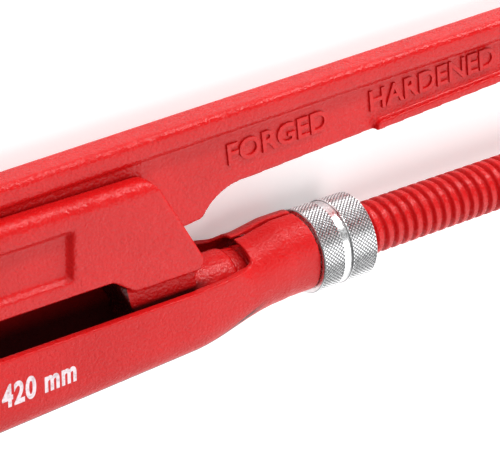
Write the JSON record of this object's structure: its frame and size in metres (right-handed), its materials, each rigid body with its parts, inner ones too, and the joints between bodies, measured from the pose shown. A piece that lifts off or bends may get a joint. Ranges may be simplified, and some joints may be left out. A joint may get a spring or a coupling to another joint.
{
  "type": "pipe wrench",
  "caption": "Forged two-leg pipe wrench: hooked jaw on a threaded leg, opposed jaw on an I-beam handle, sheet channel and a knurled adjusting nut.",
  "frame": {"origin": "centre of the whole tool's box at its lowest face, the tool lying on its side", "axes": "+X along the threaded bar to the handle ends, +Y from the threaded bar to the I-beam handle, +Z out of the flat of the tool"},
  "size_m": [0.419, 0.1088, 0.0304],
  "materials": {
    "guide_channel": "powder coat, satin",
    "pivot_rivet": "peened steel",
    "leaf_spring": "blued spring steel",
    "adjusting_nut": "plated, diamond knurled",
    "lower_leg": "powder coat over a forging",
    "upper_leg": "powder coat over a forging"
  },
  "bodies": {
    "channel": {"guide_channel": "guide_channel", "pivot_rivet": "pivot_rivet", "leaf_spring": "leaf_spring"},
    "nut": {"adjusting_nut": "adjusting_nut"},
    "lower_leg": {"lower_leg": "lower_leg"},
    "upper_leg": {"upper_leg": "upper_leg"}
  },
  "joints": [
    {"name": "handle_pivot", "type": "hinge", "parent": "channel", "child": "upper_leg", "pos_m": [-0.1545, -0.01539, 0.0152], "axis": [0, 0, 1], "range_deg": [0, 15]},
    {"name": "leg_slide", "type": "slide", "parent": "channel", "child": "lower_leg", "axis": [1, 0, 0], "range_m": [-0.045, 0.006]},
    {"name": "nut_spin", "type": "hinge", "parent": "channel", "child": "nut", "pos_m": [0.0055, -0.01139, 0.0152], "axis": [1, 0, 0], "continuous": true}
  ],
  "couplings": [
    {"joint": "nut_spin", "follows": "leg_slide", "rad_per_m": -1570.8}
  ]
}
